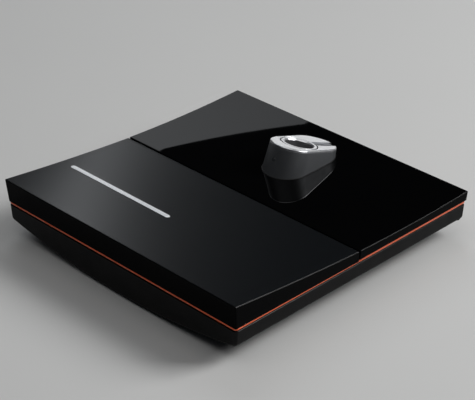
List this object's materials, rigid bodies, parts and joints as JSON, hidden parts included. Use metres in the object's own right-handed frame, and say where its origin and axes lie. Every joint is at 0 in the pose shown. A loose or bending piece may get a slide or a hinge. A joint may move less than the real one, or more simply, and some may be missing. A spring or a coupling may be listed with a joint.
{
  "type": "golf launch monitor",
  "caption": "Flat square radar launch monitor with a two-part front cover, tilted camera housing, barrel-shaped rear housing, fold-out stand, port door and power button.",
  "frame": {"origin": "middle of the surface the unit rests on when it lies on its back", "axes": "+Z out of the front face, +Y towards the top edge of the unit in use, +X to the right along the lower edge seen from the front"},
  "size_m": [0.3, 0.3, 0.0747],
  "materials": {
    "satin_cover": "fine satin slate paint",
    "gloss_cover": "polished black",
    "shell_black": "fine moulded texture",
    "joint_black": "matt",
    "accent_orange": "satin orange",
    "camera_grey": "satin anodised",
    "silver": "fine brushed",
    "lens_black": "blackened",
    "optic": "coated and polished",
    "rubber": "matt",
    "frame_metal": "bead blasted",
    "shield_tin": "tin plated",
    "steel": "zinc plated",
    "board_green": "solder mask",
    "copper": "gold flashed copper",
    "flex_amber": "film",
    "foam": "open foam",
    "battery_wrap": "shrink film",
    "lead_red": "wire sleeve",
    "thermal_grey": "soft pad",
    "light_pipe": "frosted clear",
    "brass": "turned"
  },
  "bodies": {
    "unit": {"rear_housing": "shell_black", "accent_band": "accent_orange", "lower_cover": "satin_cover", "upper_cover": "gloss_cover", "divider_strip": "joint_black", "badge_bar": "silver", "camera_housing": "camera_grey", "camera_top_plate": "silver", "camera_gasket": "rubber", "camera_set_screw": "steel", "camera_screws": "steel", "lens_ring": "silver", "lens_barrel": "lens_black", "front_lens": "optic", "rear_lens": "optic", "camera_board": "board_green", "camera_ribbon": "flex_amber", "mid_frame": "frame_metal", "lower_antenna_bracket": "frame_metal", "lower_antenna_board": "board_green", "lower_antenna_patches": "copper", "lower_shield": "shield_tin", "lower_ribbon": "flex_amber", "upper_antenna_board": "board_green", "upper_antenna_patches": "copper", "upper_board_spacers": "frame_metal", "upper_shields": "shield_tin", "upper_ribbon": "flex_amber", "antenna_screws": "steel", "absorber_strip": "foam", "wifi_antenna": "board_green", "main_board": "board_green", "board_screws": "steel", "board_shields": "shield_tin", "thermal_pad": "thermal_grey", "heat_sink": "frame_metal", "battery_pack": "battery_wrap", "battery_pad": "foam", "battery_bracket": "frame_metal", "bracket_screws": "steel", "battery_lead": "lead_red", "port_board": "board_green", "power_socket": "joint_black", "data_socket": "shield_tin", "usb_socket": "shield_tin", "port_ribbon": "flex_amber", "door_pin": "steel", "light_ring": "light_pipe", "button_board": "board_green", "button_ribbon": "flex_amber", "vent_plug": "joint_black", "tripod_insert": "brass", "rear_pads": "rubber", "stand_pin": "steel", "cover_screws": "steel", "housing_screws": "steel"},
    "stand": {"stand_leg": "shell_black", "stand_foot": "rubber"},
    "door": {"port_door": "shell_black"},
    "button": {"power_button": "shell_black"}
  },
  "joints": [
    {"name": "stand_hinge", "type": "hinge", "parent": "unit", "child": "stand", "pos_m": [0, -0.024, 0.0058], "axis": [1, 0, 0], "range_deg": [0, 38]},
    {"name": "door_hinge", "type": "hinge", "parent": "unit", "child": "door", "pos_m": [-0.1471, 0.06, 0.0202], "axis": [0, -1, 0], "range_deg": [0, 95]},
    {"name": "button_press", "type": "slide", "parent": "unit", "child": "button", "axis": [0, -1, 0], "range_m": [0, 0.0008], "stiffness_N_per_m": 2500, "springref_m": -0.0004}
  ]
}
